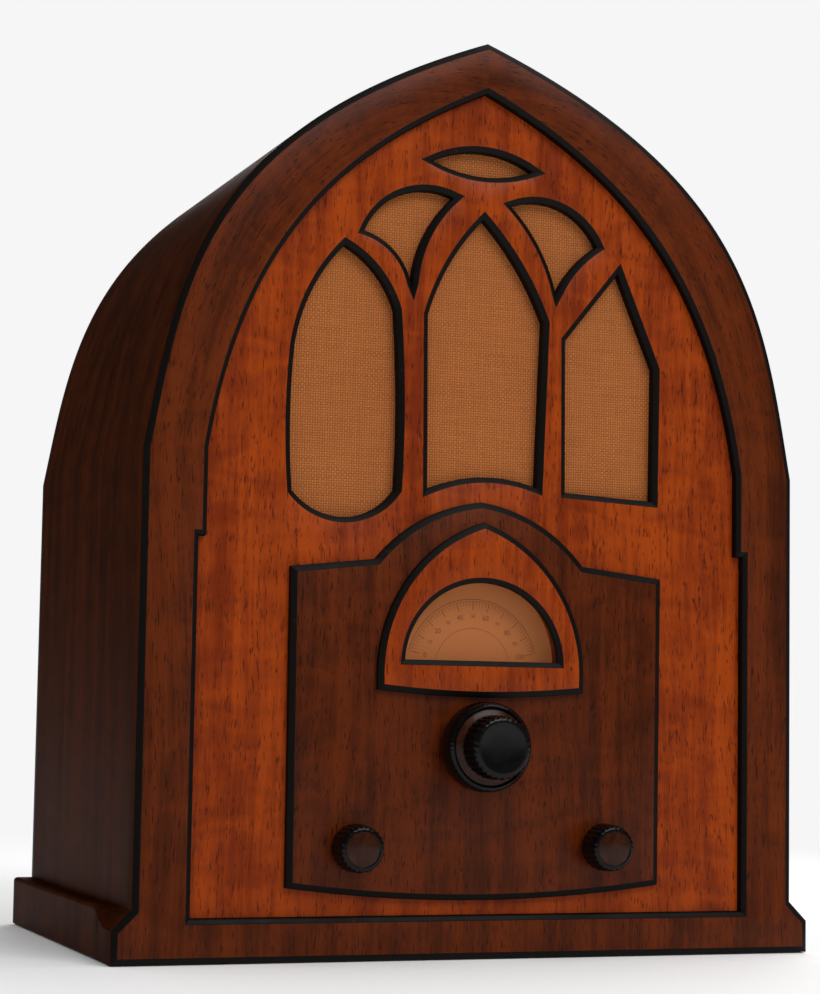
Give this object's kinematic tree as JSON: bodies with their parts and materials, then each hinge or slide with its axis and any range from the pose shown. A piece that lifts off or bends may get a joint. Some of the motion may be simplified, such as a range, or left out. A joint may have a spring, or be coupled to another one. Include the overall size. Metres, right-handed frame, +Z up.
{
  "type": "cathedral radio",
  "caption": "Pointed-arch walnut table radio with a fretted grille, half-round dial, turning knobs, and an open back showing its chassis and speaker.",
  "frame": {"origin": "centre of the bounding box in plan, on the surface the radio stands on", "axes": "+Z up, the front faces -Y, +X to the right of someone facing the radio"},
  "size_m": [0.356, 0.26, 0.445],
  "materials": {
    "walnut_frame": "satin dark walnut stain",
    "walnut_panel": "satin red-brown walnut stain",
    "walnut_overlay": "satin dark walnut stain",
    "walnut_side": "very dark walnut stain, satin",
    "bare_plywood": "unfinished plywood",
    "grille_fabric": "plain-woven tan grille cloth",
    "dial_card": "printed tan card",
    "window_glass": "clear window",
    "tube_glass": "clear glass with grey getter",
    "brown_bakelite": "moulded dark brown bakelite",
    "black_bakelite": "moulded black bakelite",
    "plated_steel": "dull cadmium plate",
    "bare_aluminium": "drawn aluminium",
    "brass": "lacquered brass",
    "black_iron": "black enamel",
    "cone_paper": "pressed paper",
    "rubber": "black rubber"
  },
  "bodies": {
    "cabinet": {"baffle_board": "bare_plywood", "base_moulding_left": "walnut_side", "base_moulding_right": "walnut_side", "chassis": "plated_steel", "chassis_bolt_1": "plated_steel", "chassis_bolt_2": "plated_steel", "chassis_bolt_3": "plated_steel", "chassis_bolt_4": "plated_steel", "control_panel": "walnut_overlay", "cord_grommet": "rubber", "dial_escutcheon": "walnut_panel", "dial_lamp": "tube_glass", "dial_scale": "dial_card", "dial_window": "window_glass", "field_magnet": "black_iron", "filter_can_1": "bare_aluminium", "filter_can_2": "bare_aluminium", "floor_board": "bare_plywood", "front_frame": "walnut_frame", "front_panel": "walnut_panel", "gang_frame": "plated_steel", "gang_stator": "bare_aluminium", "grille_cloth": "grille_fabric", "if_can_1": "bare_aluminium", "if_can_2": "bare_aluminium", "lamp_socket": "brass", "output_transformer": "black_iron", "output_tube_base": "brown_bakelite", "output_tube_glass": "tube_glass", "power_transformer_core": "black_iron", "power_transformer_shroud": "black_iron", "rectifier_tube_base": "brown_bakelite", "rectifier_tube_glass": "tube_glass", "ridge_block": "bare_plywood", "shaft_bracket": "plated_steel", "shell_left": "walnut_side", "shell_right": "walnut_side", "shielded_tube_1": "tube_glass", "shielded_tube_2": "tube_glass", "shielded_tube_3": "tube_glass", "speaker_basket": "black_iron", "terminal_strip": "brown_bakelite", "tone_control": "plated_steel", "tube_shield_1": "bare_aluminium", "tube_shield_2": "bare_aluminium", "tube_shield_3": "bare_aluminium", "volume_control": "plated_steel"},
    "gang": {"gang_rotor": "bare_aluminium", "drive_disc": "brass", "dial_pointer": "black_iron"},
    "tuning": {"tuning_shaft": "plated_steel", "tuning_knob_skirt": "brown_bakelite", "tuning_knob_cap": "black_bakelite"},
    "volume": {"volume_shaft": "plated_steel", "volume_knob": "brown_bakelite"},
    "tone": {"tone_shaft": "plated_steel", "tone_knob": "brown_bakelite"},
    "cone": {"speaker_cone": "cone_paper"}
  },
  "joints": [
    {"name": "gang_turn", "type": "hinge", "parent": "cabinet", "child": "gang", "pos_m": [0, -0.02, 0.138], "axis": [0, 1, 0], "range_deg": [0, 180]},
    {"name": "tuning_turn", "type": "hinge", "parent": "cabinet", "child": "tuning", "pos_m": [0, -0.1, 0.1005], "axis": [0, 1, 0], "range_deg": [-1415, 0]},
    {"name": "volume_turn", "type": "hinge", "parent": "cabinet", "child": "volume", "pos_m": [-0.0638, -0.1, 0.0528], "axis": [0, 1, 0], "range_deg": [-150, 150]},
    {"name": "tone_turn", "type": "hinge", "parent": "cabinet", "child": "tone", "pos_m": [0.0638, -0.1, 0.0528], "axis": [0, 1, 0], "range_deg": [-150, 150]},
    {"name": "cone_travel", "type": "slide", "parent": "cabinet", "child": "cone", "axis": [0, 1, 0], "range_m": [-0.001, 0.001], "stiffness_N_per_m": 1500}
  ],
  "couplings": [
    {"joint": "tuning_turn", "follows": "gang_turn", "ratio": -7.8571}
  ]
}
